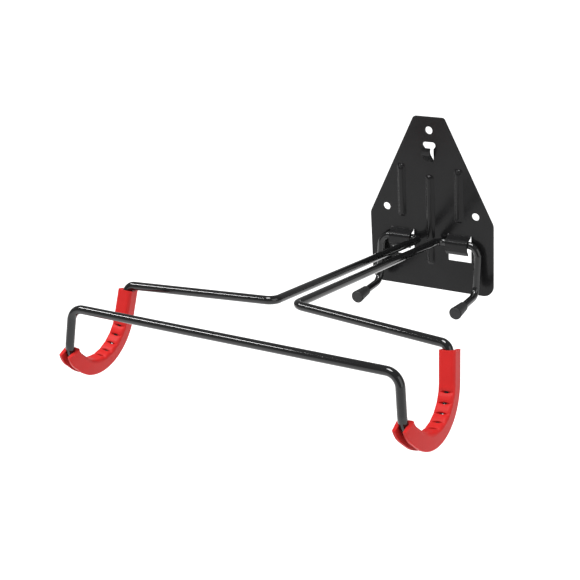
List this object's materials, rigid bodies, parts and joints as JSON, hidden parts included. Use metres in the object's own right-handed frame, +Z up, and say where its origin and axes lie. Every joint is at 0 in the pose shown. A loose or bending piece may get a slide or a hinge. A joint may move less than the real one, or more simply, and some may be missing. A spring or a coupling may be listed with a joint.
{
  "type": "bicycle wall rack",
  "caption": "Folding wall rack for a bicycle: a pressed steel plate with hinge tabs holds a bent round bar whose padded hooks cradle the frame's top tube and whose feet wear rubber caps.",
  "frame": {"origin": "centre of the circle through the three screw holes, on the plate's back, which lies on the wall", "axes": "+Z up the wall, -Y out of the wall into the room, +X to the right as seen from the room"},
  "size_m": [0.3508, 0.4185, 0.194],
  "materials": {
    "plate_paint": "satin gloss black paint",
    "bar_paint": "gloss black paint",
    "sleeve": "satin red soft vinyl",
    "cap": "matte dark grey"
  },
  "bodies": {
    "plate": {"wall_plate": "plate_paint"},
    "carrier": {"wire_frame": "bar_paint", "left_sleeve": "sleeve", "right_sleeve": "sleeve", "left_cap": "cap", "right_cap": "cap"}
  },
  "joints": [
    {"name": "fold", "type": "hinge", "parent": "plate", "child": "carrier", "pos_m": [0, -0.0063, -0.0612], "axis": [-1, 0, 0], "range_deg": [-9.5, 80]}
  ]
}
